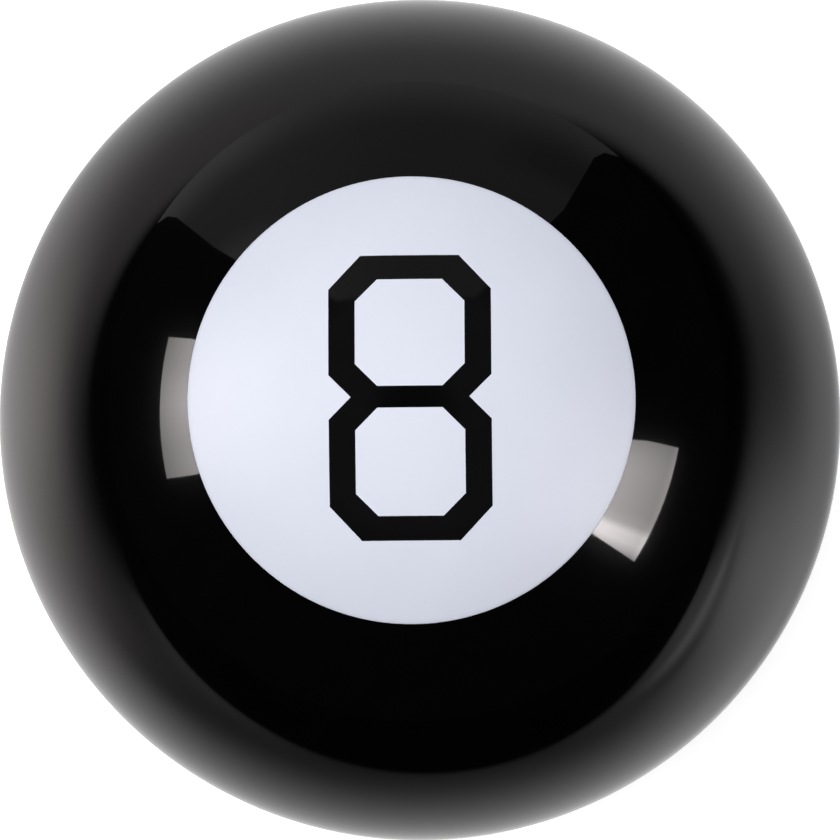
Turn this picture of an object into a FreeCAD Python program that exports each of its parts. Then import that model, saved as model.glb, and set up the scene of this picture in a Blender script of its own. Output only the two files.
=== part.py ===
import FreeCAD, Part
import math
import os

import Sketcher
from FreeCAD import Placement, Rotation, Vector

# A hollow numbered novelty ball, in millimetres.
# Origin: the middle of the flat foot.  +Z runs up through the number disc, and +Y is the top of the numeral.
# Inside, a sealed round cell of dyed liquid stands on a window and holds a twenty-sided die.

DIMENSIONS = {
    # the ball
    "ball_radius": 50.8,
    "centre_height": 44.0,
    "shell_wall": 2.2,
    "seam_bevel": 0.2,
    "tongue_thickness": 1.0,
    "tongue_height": 2.0,
    "fit_gap": 0.1,
    "overrun": 1.0,
    # the number
    "disc_radius": 25.4,
    "print_depth": 0.3,
    "numeral_depth": 0.15,
    "numeral_width": 18.3,
    "numeral_height": 32.15,
    "side_stroke": 2.98,
    "end_stroke": 2.75,
    "middle_stroke": 2.44,
    "outer_cut_width": 3.6,
    "outer_cut_height": 3.85,
    "inner_cut": 2.5,
    "waist_depth": 2.5,
    # the foot and the window
    "foot_thickness": 1.0,
    "floor_top": 3.0,
    "aperture_radius": 22.6,
    "window_radius": 20.0,
    "window_chamfer": 0.8,
    "lens_gap": 0.15,
    "lens_recess": 1.2,
    "lens_flange_radius": 25.9,
    "lens_top": 5.0,
    "gasket_thickness": 0.8,
    # the liquid cell
    "tank_radius": 25.8,
    "tank_wall": 1.8,
    "tank_top": 70.0,
    "lid_thickness": 2.0,
    "lid_spigot_depth": 3.0,
    "lid_spigot_wall": 2.0,
    "plug_radius": 4.0,
    "plug_taper": 0.3,
    "plug_depth": 4.0,
    "plug_head_radius": 6.0,
    "plug_head_height": 1.5,
    "trap_rim_bottom": 47.0,
    "trap_rim_top": 49.5,
    "trap_wall": 1.2,
    "spout_radius": 3.0,
    "spout_bottom": 58.5,
    "spout_top": 62.0,
    "fluid_level": 65.0,
    "fluid_gap": 0.3,
    # what holds the cell in the ball
    "collar_radius": 26.2,
    "collar_wall": 1.6,
    "lower_collar_top": 12.0,
    "upper_collar_bottom": 61.0,
    "rib_thickness": 1.6,
    "rib_count": 6,
    "upper_rib_start": 8.0,
    "upper_rib_end": 36.0,
    "lower_rib_end": 38.0,
    # the die
    "die_edge": 19.0,
    "die_wall": 1.5,
    "die_clearance": 0.3,
    "mark_height": 0.5,
    "mark_size": 7.0,
    "mark_stroke": 1.1,
}

GOLDEN = (1 + math.sqrt(5)) / 2

doc = FreeCAD.newDocument("numbered_ball")
dims = doc.addObject("Spreadsheet::Sheet", "dims")
for row, (alias, size) in enumerate(DIMENSIONS.items(), start=1):
    dims.set(f"A{row}", alias)
    dims.set(f"B{row}", str(size))
    dims.setAlias(f"B{row}", alias)
doc.recompute()

CENTRE = "dims.centre_height"
OUTSIDE = "dims.ball_radius"
INSIDE = "(dims.ball_radius - dims.shell_wall)"
TANK_BORE = "(dims.tank_radius - dims.tank_wall)"
TANK_BOTTOM = "(dims.lens_top + dims.gasket_thickness)"
LID_TOP = "(dims.tank_top + dims.lid_thickness)"
COLLAR_OUTSIDE = "(dims.collar_radius + dims.collar_wall)"
OVERHEAD = "(dims.centre_height + dims.ball_radius + dims.overrun)"

parts = []


def value(expression):
    """The number that an expression on the sheet has now."""
    return float(dims.evalExpression(expression))


def sub_part(thing, label):
    """Names a finished sub-part and puts it on the list of what is written."""
    thing.Label = label
    parts.append(thing)


# ---- Part primitives and booleans bound to the sheet ----

def sphere(name, radius):
    """A whole sphere about the ball's centre."""
    ball = doc.addObject("Part::Sphere", name)
    ball.setExpression("Radius", radius)
    ball.setExpression("Placement.Base.z", CENTRE)
    return ball


def cylinder(name, radius, bottom, top):
    """A cylinder about the ball's axis between two heights."""
    rod = doc.addObject("Part::Cylinder", name)
    rod.setExpression("Radius", radius)
    rod.setExpression("Height", f"({top}) - ({bottom})")
    rod.setExpression("Placement.Base.z", bottom)
    return rod


def cut(name, base, tool):
    result = doc.addObject("Part::Cut", name)
    result.Base = base
    result.Tool = tool
    return result


def common(name, base, tool):
    result = doc.addObject("Part::Common", name)
    result.Base = base
    result.Tool = tool
    return result


def fuse(name, *shapes):
    result = doc.addObject("Part::MultiFuse", name)
    result.Shapes = list(shapes)
    return result


def tube(name, inner, outer, bottom, top):
    rod = cylinder(f"{name}_outer", outer, bottom, top)
    return cut(name, rod, cylinder(f"{name}_bore", inner, bottom, top))


# ---- PartDesign bodies bound to the sheet ----

def add_outline(sketch, corners):
    """Draws a closed outline whose corners are pairs of expressions measured from the sketch's origin."""
    points = [Vector(value(across), value(up), 0) for across, up in corners]
    first = sketch.GeometryCount
    for start, end in zip(points, points[1:] + points[:1]):
        sketch.addGeometry(Part.LineSegment(start, end))
    for index, corner in enumerate(corners):
        line = first + index
        following = first + (index + 1) % len(corners)
        sketch.addConstraint(Sketcher.Constraint("Coincident", line, 2, following, 1))
        for kind, expression in zip(("DistanceX", "DistanceY"), corner):
            distance = Sketcher.Constraint(kind, -1, 1, line, 1, value(expression))
            sketch.setExpression(f"Constraints[{sketch.addConstraint(distance)}]", expression)


def sketched_body(name, plane_role, outlines):
    """A body with one sketch of the given outlines on one of its own origin planes."""
    body = doc.addObject("PartDesign::Body", name)
    sketch = body.newObject("Sketcher::SketchObject", f"{name}_sketch")
    plane = next(feature for feature in body.Origin.OriginFeatures if feature.Role == plane_role)
    sketch.AttachmentSupport = [(plane, "")]
    sketch.MapMode = "FlatFace"
    for corners in outlines:
        add_outline(sketch, corners)
    return body, sketch


def turned(name, corners):
    """A body turned about Z from one outline of (radius, height) corners."""
    body, sketch = sketched_body(name, "XZ_Plane", [corners])
    lathe = body.newObject("PartDesign::Revolution", f"{name}_revolution")
    lathe.Profile = sketch
    lathe.ReferenceAxis = (sketch, ["V_Axis"])
    lathe.Angle = 360
    return body


def rib_ring(name, corners):
    """Equal radial ribs round Z, from one outline of (radius, height) corners."""
    body, sketch = sketched_body(name, "XZ_Plane", [corners])
    rib = body.newObject("PartDesign::Pad", f"{name}_pad")
    rib.Profile = sketch
    rib.SideType = "Symmetric"
    rib.setExpression("Length", "dims.rib_thickness")
    ring = body.newObject("PartDesign::PolarPattern", f"{name}_pattern")
    ring.Originals = [rib]
    ring.Axis = (next(f for f in body.Origin.OriginFeatures if f.Role == "Z_Axis"), [""])
    ring.Angle = 360
    ring.setExpression("Occurrences", "dims.rib_count")
    body.Tip = ring
    return body


# ---- The two halves of the ball ----

def half_ball(name, bottom, top):
    """The spherical wall between two heights, its inside still a plain sphere."""
    slab = cylinder(f"{name}_slab", f"{OUTSIDE} + dims.overrun", bottom, top)
    wall = cut(f"{name}_wall", sphere(f"{name}_outside", OUTSIDE), sphere(f"{name}_inside", INSIDE))
    return common(f"{name}_half", wall, slab)


def seam_bevel(name, direction):
    """The ring of triangular section that one half loses along the outer edge of the seam."""
    return turned(name, [
        (f"{OUTSIDE} - dims.seam_bevel", CENTRE),
        (f"{OUTSIDE} + dims.seam_bevel", f"{CENTRE} {direction} 2 * dims.seam_bevel"),
        (f"{OUTSIDE} + dims.seam_bevel", CENTRE),
    ])


def inside_only(name, shape):
    """Trims a fitting to the hollow of the ball, running a little into its wall so that it fuses."""
    return common(name, sphere(f"{name}_limit", f"{INSIDE} + dims.shell_wall / 2"), shape)


def upper_shell():
    wall = half_ball("upper", CENTRE, OVERHEAD)
    collar = tube("upper_collar", "dims.collar_radius", COLLAR_OUTSIDE, "dims.upper_collar_bottom", OVERHEAD)
    ribs = rib_ring("upper_ribs", [
        ("dims.upper_rib_start", LID_TOP),
        ("dims.upper_rib_end", LID_TOP),
        ("dims.upper_rib_end", OVERHEAD),
        ("dims.upper_rib_start", OVERHEAD),
    ])
    fittings = inside_only("upper_fittings", fuse("upper_inner", collar, ribs))
    moulding = fuse("upper_moulding", wall, fittings)
    rebate = cylinder("seam_rebate", f"{INSIDE} + dims.tongue_thickness + dims.fit_gap", CENTRE,
                      f"{CENTRE} + dims.tongue_height + dims.fit_gap")
    rebated = cut("upper_rebated", moulding, rebate)
    bevelled = cut("upper_bevelled", rebated, seam_bevel("upper_bevel", "+"))
    recess = cut("print_recess", cylinder("print_recess_rod", "dims.disc_radius", CENTRE, OVERHEAD),
                 sphere("print_floor", f"{OUTSIDE} - dims.print_depth"))
    sub_part(cut("upper_done", bevelled, recess), "upper_shell")


def lower_shell():
    wall = half_ball("lower", "dims.foot_thickness", CENTRE)
    floor = common("lower_floor", sphere("lower_floor_ball", OUTSIDE),
                   cylinder("lower_floor_slab", OUTSIDE, "dims.foot_thickness", "dims.floor_top"))
    socket = tube("lower_collar", "dims.collar_radius", COLLAR_OUTSIDE, "dims.floor_top",
                  "dims.lower_collar_top")
    ribs = rib_ring("lower_ribs", [
        (f"{COLLAR_OUTSIDE} - dims.collar_wall / 2", "dims.floor_top"),
        ("dims.lower_rib_end", "dims.floor_top"),
        ("dims.lower_rib_end", "dims.lower_collar_top"),
        (f"{COLLAR_OUTSIDE} - dims.collar_wall / 2", "dims.lower_collar_top"),
    ])
    fittings = inside_only("lower_fittings", fuse("lower_inner", socket, ribs))
    tongue = tube("seam_tongue", f"{INSIDE} - dims.fit_gap", f"{INSIDE} + dims.tongue_thickness",
                  f"{CENTRE} - dims.tongue_height", f"{CENTRE} + dims.tongue_height")
    moulding = fuse("lower_moulding", wall, floor, fittings, tongue)
    aperture = cylinder("window_aperture", "dims.aperture_radius", "0", "dims.floor_top + dims.overrun")
    opened = cut("lower_opened", moulding, aperture)
    sub_part(cut("lower_done", opened, seam_bevel("lower_bevel", "-")), "lower_shell")


# ---- The number ----

def octagon(half_width, bottom, top, cut_off):
    """The eight corners of a rectangle about the Y axis with its corners cut off."""
    right = [
        (f"{half_width} - {cut_off}", top),
        (half_width, f"{top} - {cut_off}"),
        (half_width, f"{bottom} + {cut_off}"),
        (f"{half_width} - {cut_off}", bottom),
    ]
    return right + [(f"-({across})", up) for across, up in reversed(right)]


def numeral_prism():
    """The block figure eight: a waisted outline with two cut-cornered openings, as a tall prism."""
    half_width = "dims.numeral_width / 2"
    half_height = "dims.numeral_height / 2"
    corner = [
        (f"{half_width} - dims.outer_cut_width", half_height),
        (half_width, f"{half_height} - dims.outer_cut_height"),
        (half_width, "dims.waist_depth"),
    ]
    waist = (f"{half_width} - dims.waist_depth", "0")
    right = corner + [waist] + [(across, f"-({up})") for across, up in reversed(corner)]
    outline = right + [(f"-({across})", up) for across, up in reversed(right)]
    opening = (f"({half_width} - dims.side_stroke)", "(dims.middle_stroke / 2)",
               f"({half_height} - dims.end_stroke)", "dims.inner_cut")
    upper_opening = octagon(*opening)
    lower_opening = [(across, f"-({up})") for across, up in upper_opening]
    body, sketch = sketched_body("numeral", "XY_Plane", [outline, upper_opening, lower_opening])
    pad = body.newObject("PartDesign::Pad", "numeral_pad")
    pad.Profile = sketch
    pad.setExpression("Length", OVERHEAD)
    return body


def number():
    """The white field fills the recess of the upper shell, and the thinner numeral is let into it, flush."""
    cap = common("print_cap", sphere("print_skin", OUTSIDE),
                 cylinder("print_rod", "dims.disc_radius", CENTRE, OVERHEAD))
    field = cut("print_field", cap, sphere("print_back", f"{OUTSIDE} - dims.print_depth"))
    ink = cut("ink_layer", cap, sphere("ink_back", f"{OUTSIDE} - dims.numeral_depth"))
    numeral = common("numeral_done", ink, numeral_prism())
    sub_part(cut("disc_done", field, numeral), "number_disc")
    sub_part(numeral, "numeral_eight")


# ---- The foot, the window and the liquid cell ----

def window_bezel():
    """The foot ring under the ball, its rim part of the sphere, with a spigot up through the aperture."""
    ring = turned("bezel", [
        ("dims.window_radius + dims.window_chamfer", "0"),
        ("dims.ball_radius", "0"),
        ("dims.ball_radius", "dims.foot_thickness"),
        ("dims.aperture_radius - dims.fit_gap", "dims.foot_thickness"),
        ("dims.aperture_radius - dims.fit_gap", "dims.floor_top"),
        ("dims.window_radius", "dims.floor_top"),
        ("dims.window_radius", "dims.window_chamfer"),
    ])
    sub_part(common("bezel_done", ring, sphere("bezel_ball", OUTSIDE)), "window_bezel")


def window_lens():
    """A clear stepped disc: its flange stands on the floor of the ball, its boss fills the bezel."""
    boss = "dims.window_radius - dims.lens_gap"
    sub_part(turned("lens", [
        ("0", "dims.lens_recess"),
        (boss, "dims.lens_recess"),
        (boss, "dims.floor_top"),
        ("dims.lens_flange_radius", "dims.floor_top"),
        ("dims.lens_flange_radius", "dims.lens_top"),
        ("0", "dims.lens_top"),
    ]), "window_lens")


def lens_gasket():
    sub_part(turned("gasket", [
        (TANK_BORE, "dims.lens_top"),
        ("dims.lens_flange_radius", "dims.lens_top"),
        ("dims.lens_flange_radius", TANK_BOTTOM),
        (TANK_BORE, TANK_BOTTOM),
    ]), "lens_gasket")


def fluid_tank():
    sub_part(turned("tank", [
        (TANK_BORE, TANK_BOTTOM),
        ("dims.tank_radius", TANK_BOTTOM),
        ("dims.tank_radius", "dims.tank_top"),
        (TANK_BORE, "dims.tank_top"),
    ]), "fluid_tank")


def tank_lid():
    """A flat lid with a locating spigot and a tapered filling hole."""
    spigot = f"{TANK_BORE} - dims.fit_gap"
    spigot_bottom = "dims.tank_top - dims.lid_spigot_depth"
    sub_part(turned("lid", [
        ("dims.plug_radius - dims.plug_taper / 2", "dims.tank_top"),
        (f"{spigot} - dims.lid_spigot_wall", "dims.tank_top"),
        (f"{spigot} - dims.lid_spigot_wall", spigot_bottom),
        (spigot, spigot_bottom),
        (spigot, "dims.tank_top"),
        ("dims.tank_radius", "dims.tank_top"),
        ("dims.tank_radius", LID_TOP),
        ("dims.plug_radius", LID_TOP),
    ]), "tank_lid")


def filler_plug():
    """A stopper with the taper of the filling hole: half of it in the lid, half below."""
    sub_part(turned("plug", [
        ("0", f"{LID_TOP} - dims.plug_depth"),
        ("dims.plug_radius - dims.plug_taper", f"{LID_TOP} - dims.plug_depth"),
        ("dims.plug_radius", LID_TOP),
        ("dims.plug_head_radius", LID_TOP),
        ("dims.plug_head_radius", f"{LID_TOP} + dims.plug_head_height"),
        ("0", f"{LID_TOP} + dims.plug_head_height"),
    ]), "filler_plug")


def bubble_trap():
    """An inverted funnel: air above it can't get back to the window when the ball is turned over."""
    rim = f"({TANK_BORE} - dims.fit_gap)"
    spout_outside = "(dims.spout_radius + dims.trap_wall)"
    sub_part(turned("trap", [
        (f"{rim} - dims.trap_wall", "dims.trap_rim_bottom"),
        (rim, "dims.trap_rim_bottom"),
        (rim, "dims.trap_rim_top + dims.trap_wall"),
        (f"{rim} - dims.trap_wall", "dims.trap_rim_top + dims.trap_wall"),
        (spout_outside, "dims.spout_bottom + dims.trap_wall"),
        (spout_outside, "dims.spout_top"),
        ("dims.spout_radius", "dims.spout_top"),
        ("dims.spout_radius", "dims.spout_bottom"),
        (f"{rim} - dims.trap_wall", "dims.trap_rim_top"),
    ]), "bubble_trap")


# ---- The die: a regular icosahedron with one face down on the window ----

def icosahedron():
    """The twelve corners of an icosahedron with unit inner radius, one face square to -Z, and its faces."""
    corners = []
    for first in (-1, 1):
        for second in (-GOLDEN, GOLDEN):
            corners += [Vector(0, first, second), Vector(first, second, 0), Vector(second, 0, first)]
    count = range(len(corners))
    joined = [[abs(corners[a].distanceToPoint(corners[b]) - 2) < 1e-6 for b in count] for a in count]
    faces = [(a, b, c) for a in count for b in count for c in count
             if a < b < c and joined[a][b] and joined[b][c] and joined[a][c]]
    below = middle_of(corners, faces[0])
    turn = Rotation(below, Vector(0, 0, -1))
    tip = turn.multVec(corners[faces[0][0]])
    spin = Rotation(Vector(0, 0, 1), 90 - math.degrees(math.atan2(tip.y, tip.x)))
    turned_corners = [spin.multVec(turn.multVec(corner)) / below.Length for corner in corners]
    return turned_corners, faces


def middle_of(corners, face):
    return (corners[face[0]] + corners[face[1]] + corners[face[2]]) / 3


def die_inner_radius():
    """The distance from the die's centre to its faces."""
    return value("dims.die_edge") * GOLDEN ** 2 / (2 * math.sqrt(3))


def die_centre():
    """The die rests with its lowest mark just clear of the window."""
    lift = value("dims.lens_top + dims.die_clearance + dims.mark_height")
    return Vector(0, 0, lift + die_inner_radius())


def polygon_face(points):
    return Part.Face(Part.makePolygon(points + points[:1]))


def plain_feature(name, shape, placement):
    """A document object for a shape that neither primitives nor sketches give."""
    feature = doc.addObject("Part::Feature", name)
    feature.Shape = shape
    feature.Placement = placement
    return feature


def half_faces(faces, pole):
    """The five faces that meet at a corner and the five that share an edge with them."""
    cap = [face for face in faces if pole in face]
    belt = [face for face in faces if face not in cap and any(len({*face} & {*near}) == 2 for near in cap)]
    return cap + belt


def half_wall(corners, faces):
    """A thin-walled half of the die: its faces, the same faces further in, and the zigzag rim between."""
    outer = die_inner_radius()
    inner = outer - value("dims.die_wall")
    sides = [polygon_face([corners[index] * radius for index in face])
             for face in faces for radius in (outer, inner)]
    edges = [tuple(sorted(pair)) for face in faces for pair in zip(face, face[1:] + face[:1])]
    for start, end in edges:
        if edges.count((start, end)) == 1:
            sides.append(polygon_face([corners[start] * outer, corners[end] * outer,
                                       corners[end] * inner, corners[start] * inner]))
    return Part.makeSolid(Part.makeShell(sides))


def bar(start, end):
    """A flat bar of the marks' stroke between two points, rooted in the face below it."""
    stroke = value("dims.mark_stroke")
    root = value("dims.die_wall / 2")
    along = end - start
    block = Part.makeBox(along.Length + stroke, stroke, root + value("dims.mark_height"),
                         Vector(-stroke / 2, -stroke / 2, -root))
    block.Placement = Placement(start, Rotation(Vector(1, 0, 0), along))
    return block


def cross_mark(size):
    reach = size / 2 / math.sqrt(2)
    rising = bar(Vector(-reach, -reach, 0), Vector(reach, reach, 0))
    return rising.fuse(bar(Vector(-reach, reach, 0), Vector(reach, -reach, 0)))


def tick_mark(size):
    """A tick whose long arm rises to the right and whose short arm rises to the left."""
    foot = Vector(-size / 8, -size / 3, 0)
    long_arm = bar(foot, foot + Vector(size / 2, 2 * size / 3, 0))
    short_arm = bar(foot, foot + Vector(-size / 4, size / 4, 0))
    return long_arm.fuse(short_arm)


def ring_mark(size):
    root = value("dims.die_wall / 2")
    base = Vector(0, 0, -root)
    tall = root + value("dims.mark_height")
    hole = Part.makeCylinder(size / 2 - value("dims.mark_stroke"), tall, base)
    return Part.makeCylinder(size / 2, tall, base).cut(hole)


def face_mark(corners, faces, face):
    """The raised mark of a face: half of the faces have ticks, a quarter crosses and a quarter rings."""
    number_of_face = faces.index(face)
    if number_of_face % 2 == 0:
        draw = tick_mark
    elif number_of_face % 4 == 1:
        draw = cross_mark
    else:
        draw = ring_mark
    mark = draw(value("dims.mark_size"))
    middle = middle_of(corners, face)
    upward = corners[face[0]] - middle
    facing = Rotation(upward.cross(middle), upward, middle, "ZYX")
    mark.Placement = Placement(middle * die_inner_radius(), facing)
    return mark


def die():
    corners, faces = icosahedron()
    first_half = half_faces(faces, faces[0][0])
    second_half = [face for face in faces if face not in first_half]
    for letter, half in (("a", first_half), ("b", second_half)):
        marks = [face_mark(corners, faces, face) for face in half]
        shape = half_wall(corners, half).multiFuse(marks).removeSplitter()
        sub_part(plain_feature(f"die_{letter}", shape, Placement(die_centre(), Rotation())),
                 f"die_half_{letter}")


def die_room():
    """The space that the liquid leaves for the die."""
    corners, faces = icosahedron()
    radius = die_inner_radius() + value("dims.mark_height + dims.die_clearance")
    sides = [polygon_face([corners[index] * radius for index in face]) for face in faces]
    room = Part.makeSolid(Part.makeShell(sides))
    return plain_feature("die_room", room, Placement(die_centre(), Rotation()))


def dyed_fluid():
    """The liquid, below the funnel, up its spout and above it, a small gap clear of every wall."""
    gap = "dims.fluid_gap"
    wall = f"({TANK_BORE} - {gap})"
    rim = f"({TANK_BORE} - dims.fit_gap - dims.trap_wall)"
    spout = f"(dims.spout_radius - {gap})"
    around_spout = f"(dims.spout_radius + dims.trap_wall + {gap})"
    body = turned("liquid", [
        ("0", f"dims.lens_top + {gap}"),
        (wall, f"dims.lens_top + {gap}"),
        (wall, f"dims.trap_rim_bottom - {gap}"),
        (f"{rim} - {gap}", f"dims.trap_rim_bottom - {gap}"),
        (f"{rim} - {gap}", f"dims.trap_rim_top - {gap}"),
        (spout, f"dims.spout_bottom - {gap}"),
        (spout, f"dims.spout_top + {gap}"),
        (around_spout, f"dims.spout_top + {gap}"),
        (around_spout, f"dims.spout_bottom + dims.trap_wall + {gap}"),
        (f"{rim} + {gap}", f"dims.trap_rim_top + dims.trap_wall + {gap}"),
        (wall, f"dims.trap_rim_top + dims.trap_wall + {gap}"),
        (wall, "dims.fluid_level"),
        ("0", "dims.fluid_level"),
    ])
    sub_part(cut("liquid_done", body, die_room()), "dyed_fluid")


upper_shell()
lower_shell()
number()
window_bezel()
window_lens()
lens_gasket()
fluid_tank()
tank_lid()
filler_plug()
bubble_trap()
die()
dyed_fluid()
doc.recompute()

for thing in doc.Objects:
    if {"Invalid", "Error"} & set(thing.State):
        raise RuntimeError(f"{thing.Label} did not recompute")

os.makedirs("parts", exist_ok=True)
for part in parts:
    if part.Shape.isNull() or not part.Shape.isValid():
        raise RuntimeError(f"{part.Label} has no valid shape")
    part.Shape.exportStep(f"parts/{part.Label}.step")
    print(f"{part.Label}: {part.Shape.Volume / 1000:.2f} cm3, {len(part.Shape.Solids)} solid")
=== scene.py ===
"""The looks of the hollow numbered ball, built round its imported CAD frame.

Units are metres.  +Z runs up through the number, +Y is the top of the numeral, and the foot is at z = 0.
"""
import math

import bmesh
import bpy
from mathutils import Matrix, Vector

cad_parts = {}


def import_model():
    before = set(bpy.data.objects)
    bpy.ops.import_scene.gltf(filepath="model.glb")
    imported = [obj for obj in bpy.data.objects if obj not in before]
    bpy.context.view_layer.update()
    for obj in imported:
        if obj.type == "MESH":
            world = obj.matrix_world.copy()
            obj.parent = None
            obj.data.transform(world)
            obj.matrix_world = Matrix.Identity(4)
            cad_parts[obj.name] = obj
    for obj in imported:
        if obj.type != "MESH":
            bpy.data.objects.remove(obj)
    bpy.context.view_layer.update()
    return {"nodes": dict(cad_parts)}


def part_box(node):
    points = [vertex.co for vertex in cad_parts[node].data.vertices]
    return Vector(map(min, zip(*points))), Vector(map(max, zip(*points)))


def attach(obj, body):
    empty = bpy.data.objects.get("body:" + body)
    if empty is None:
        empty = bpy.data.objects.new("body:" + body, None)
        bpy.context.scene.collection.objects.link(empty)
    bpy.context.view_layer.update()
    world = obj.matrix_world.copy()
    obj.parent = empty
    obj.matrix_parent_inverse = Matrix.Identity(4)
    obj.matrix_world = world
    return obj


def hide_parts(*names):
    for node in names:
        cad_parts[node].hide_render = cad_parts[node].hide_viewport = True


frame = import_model()

MM = 0.001
TURNS = 192

# ---- Sizes, read from the frame ----

_, DISC_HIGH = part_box("number_disc")
_, NUMERAL_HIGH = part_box("numeral_eight")
UPPER_LOW, UPPER_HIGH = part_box("upper_shell")
_, BEZEL_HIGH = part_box("window_bezel")
LENS_LOW, LENS_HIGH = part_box("window_lens")
_, TANK_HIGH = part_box("fluid_tank")
TRAP_LOW, TRAP_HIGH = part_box("bubble_trap")
_, LID_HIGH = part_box("tank_lid")
_, FLUID_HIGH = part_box("dyed_fluid")

BALL_RADIUS = UPPER_HIGH.x
BALL_TOP = DISC_HIGH.z
CENTRE = BALL_TOP - BALL_RADIUS
SEAM = UPPER_LOW.z
DISC_RADIUS = DISC_HIGH.x
TANK_RADIUS = TANK_HIGH.x

WALL = 2.2 * MM
INSIDE_RADIUS = BALL_RADIUS - WALL
PRINT_DEPTH = 0.3 * MM
INK_DEPTH = 0.15 * MM
INK_PROUD = 0.02 * MM
SEAM_BEVEL = 0.2 * MM
TONGUE = 1.0 * MM
TONGUE_HEIGHT = 2.0 * MM
FIT_GAP = 0.1 * MM
COLLAR_RADIUS = 26.2 * MM
COLLAR_WALL = 1.6 * MM
UPPER_COLLAR_BOTTOM = 61.0 * MM
LOWER_COLLAR_TOP = 12.0 * MM
RIB_THICKNESS = 1.6 * MM
RIB_COUNT = 6
UPPER_RIB_REACH = (8.0 * MM, 36.0 * MM)
LOWER_RIB_REACH = (27.0 * MM, 38.0 * MM)
RIB_BITE = WALL / 2
APERTURE_RADIUS = 22.6 * MM
WINDOW_RADIUS = 20.0 * MM
WINDOW_CHAMFER = 0.8 * MM
LENS_GAP = 0.15 * MM
FOOT_THICKNESS = 1.0 * MM
FLOOR_TOP = BEZEL_HIGH.z
TANK_WALL = 1.8 * MM
TANK_BORE = TANK_RADIUS - TANK_WALL
TRAP_WALL = 1.2 * MM
TRAP_RIM_HEIGHT = 2.5 * MM
SPOUT_RADIUS = 3.0 * MM
SPOUT_HEIGHT = 3.5 * MM
FLUID_GAP = 0.05 * MM
DIE_EDGE_SOFTNESS = 0.12 * MM

# The window, the liquid and the die touch in a real ball and stand a hair apart here, so both indices are
# lowered until their faces mirror as little as touching ones.
WINDOW_INDEX = 1.42
LIQUID_INDEX = 1.04


# ---- Outlines ----

def sphere_radius_at(height, radius):
    """How far from the axis a sphere about the ball's centre is at a height."""
    return math.sqrt(radius ** 2 - (height - CENTRE) ** 2)


def sphere_height_at(reach, radius):
    """The height of the upper half of a sphere about the ball's centre at a distance from the axis."""
    return CENTRE + math.sqrt(radius ** 2 - reach ** 2)


def sphere_depth_at(reach, radius):
    """The height of the lower half of a sphere about the ball's centre at a distance from the axis."""
    return CENTRE - math.sqrt(radius ** 2 - reach ** 2)


def sphere_arc(radius, start_height, end_height, steps):
    """Points (reach, height) along a sphere about the ball's centre, evenly spaced by angle."""
    start = math.asin(max(-1, min(1, (start_height - CENTRE) / radius)))
    end = math.asin(max(-1, min(1, (end_height - CENTRE) / radius)))
    angles = [start + (end - start) * step / steps for step in range(steps + 1)]
    return [(radius * math.cos(angle), CENTRE + radius * math.sin(angle)) for angle in angles]


def rounded(corners, steps=4):
    """Turns (reach, height, fillet) corners into a closed outline with each corner rounded by its fillet."""
    outline = []
    for index, (reach, height, fillet) in enumerate(corners):
        here = Vector((reach, height))
        before = Vector(corners[index - 1][:2]) - here
        after = Vector(corners[(index + 1) % len(corners)][:2]) - here
        if fillet == 0:
            outline.append((here.x, here.y))
            continue
        half = before.angle(after) / 2
        set_back = min(fillet / math.tan(half), 0.45 * before.length, 0.45 * after.length)
        first = here + before.normalized() * set_back
        last = here + after.normalized() * set_back
        for step in range(steps + 1):
            share = step / steps
            point = first * (1 - share) ** 2 + here * 2 * share * (1 - share) + last * share ** 2
            outline.append((point.x, point.y))
    return outline


# ---- Mesh builders ----

def finished(name, bm, sharp_degrees=32):
    """Makes the piece from its mesh: outward normals, smooth shading with sharp edges kept."""
    bmesh.ops.recalc_face_normals(bm, faces=bm.faces)
    mesh = bpy.data.meshes.new(name)
    bm.to_mesh(mesh)
    bm.free()
    mesh.shade_smooth()
    mesh.set_sharp_from_angle(angle=math.radians(sharp_degrees))
    piece = bpy.data.objects.new(name, mesh)
    bpy.context.scene.collection.objects.link(piece)
    return piece


def add_lathe(bm, outline, turns=TURNS):
    """Turns a closed outline of (reach, height) points about Z; points on the axis become poles."""
    rings = []
    for reach, height in outline:
        if reach < 1e-7:
            rings.append([bm.verts.new((0, 0, height))])
        else:
            rings.append([bm.verts.new((reach * math.cos(math.tau * turn / turns),
                                        reach * math.sin(math.tau * turn / turns), height))
                          for turn in range(turns)])
    for index, ring in enumerate(rings):
        following = rings[(index + 1) % len(rings)]
        if len(ring) == 1 and len(following) == 1:
            continue
        for turn in range(turns):
            turned_on = (turn + 1) % turns
            corners = [ring[turn % len(ring)], ring[turned_on % len(ring)],
                       following[turned_on % len(following)], following[turn % len(following)]]
            bm.faces.new(list(dict.fromkeys(corners)))


def add_ribs(bm, outline, count=RIB_COUNT, thickness=RIB_THICKNESS):
    """Adds equal radial plates of a closed (reach, height) outline."""
    for index in range(count):
        turn = Matrix.Rotation(math.tau * index / count, 3, "Z")
        sides = [[bm.verts.new(turn @ Vector((reach, side * thickness / 2, height)))
                  for reach, height in outline] for side in (-1, 1)]
        for side in sides:
            bm.faces.new(side)
        for here in range(len(outline)):
            there = (here + 1) % len(outline)
            bm.faces.new((sides[0][here], sides[0][there], sides[1][there], sides[1][here]))


def lathe(name, outline, turns=TURNS):
    """A piece made of one turned outline."""
    bm = bmesh.new()
    add_lathe(bm, outline, turns)
    return finished(name, bm)


# ---- The two halves of the ball ----

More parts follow.
